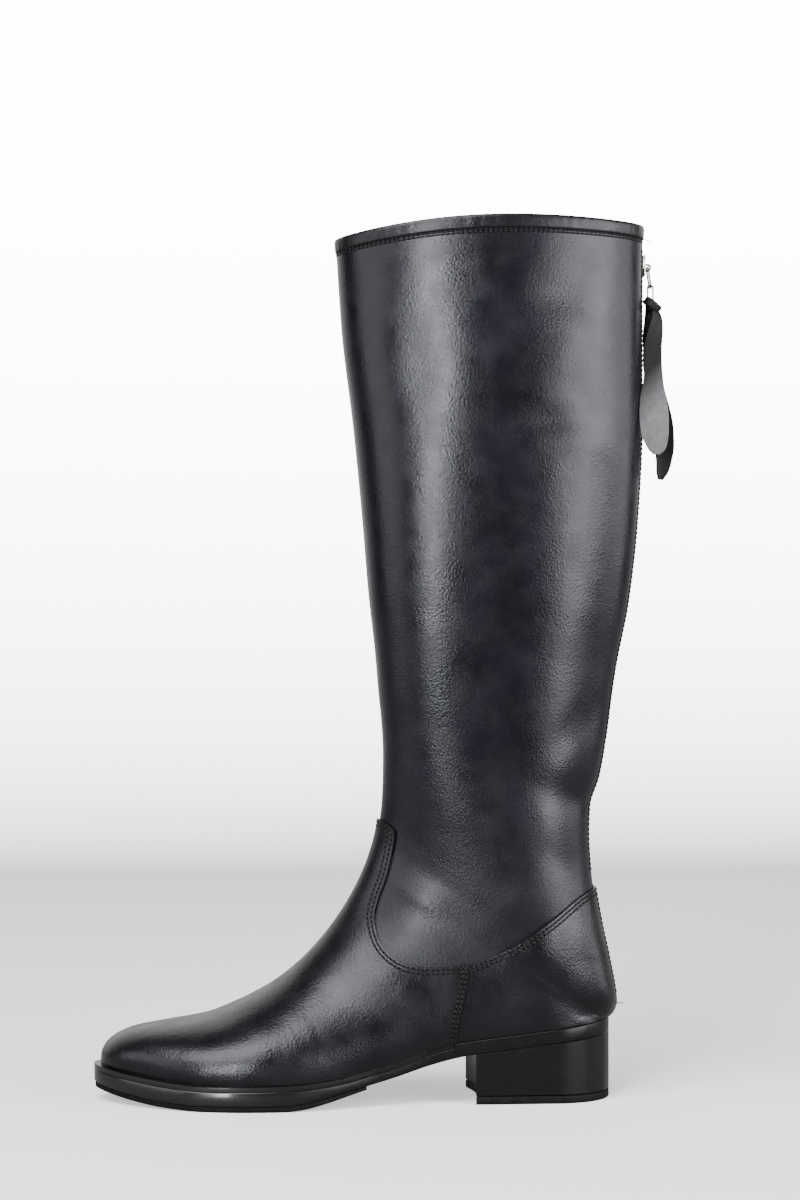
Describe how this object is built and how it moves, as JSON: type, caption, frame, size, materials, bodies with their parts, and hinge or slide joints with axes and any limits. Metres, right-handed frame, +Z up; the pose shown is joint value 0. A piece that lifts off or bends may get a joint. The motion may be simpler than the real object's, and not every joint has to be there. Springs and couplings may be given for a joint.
{
  "type": "leather boot",
  "caption": "Tall plain leather riding boot with a block heel and a full-length back zip, its slider closed near the collar with a leather pull tab hanging from it.",
  "frame": {"origin": "on the floor under the middle of the boot's box", "axes": "+Z up along the shaft, -X towards the toe, -Y towards the outer side, which the picture shows"},
  "size_m": [0.3006, 0.0946, 0.4511],
  "materials": {
    "shaft_leather": "satin black calf leather",
    "foot_leather": "polished black calf leather",
    "sole_edge": "black edge, glossy at the forepart",
    "heel": "satin black painted stack",
    "rubber": "matt black rubber",
    "insole": "plain natural leather",
    "zip_tape": "matt black woven tape",
    "zip_metal": "nickel plated",
    "tab_leather": "black leather with raw grey flesh side"
  },
  "bodies": {
    "boot": {"upper": "shaft_leather", "vamp": "foot_leather", "counter": "foot_leather", "top_band": "shaft_leather", "welt": "sole_edge", "outsole": "sole_edge", "half_sole": "rubber", "heel_block": "heel", "heel_tip": "rubber", "insole": "insole", "zip_tape": "zip_tape", "zip_teeth": "zip_metal", "zip_slider": "zip_metal"},
    "zip_pull": {"zip_pull": "zip_metal"},
    "pull_tab": {"pull_link": "zip_metal", "pull_tab": "tab_leather"}
  },
  "joints": [
    {"name": "pull_swing", "type": "hinge", "parent": "boot", "child": "zip_pull", "pos_m": [0.13587, -0.00063, 0.42898], "axis": [0, -1, 0], "range_deg": [0, 120]},
    {"name": "tab_swing", "type": "hinge", "parent": "zip_pull", "child": "pull_tab", "pos_m": [0.13754, -0.00063, 0.41862], "axis": [0, -1, 0], "range_deg": [0, 45]}
  ]
}
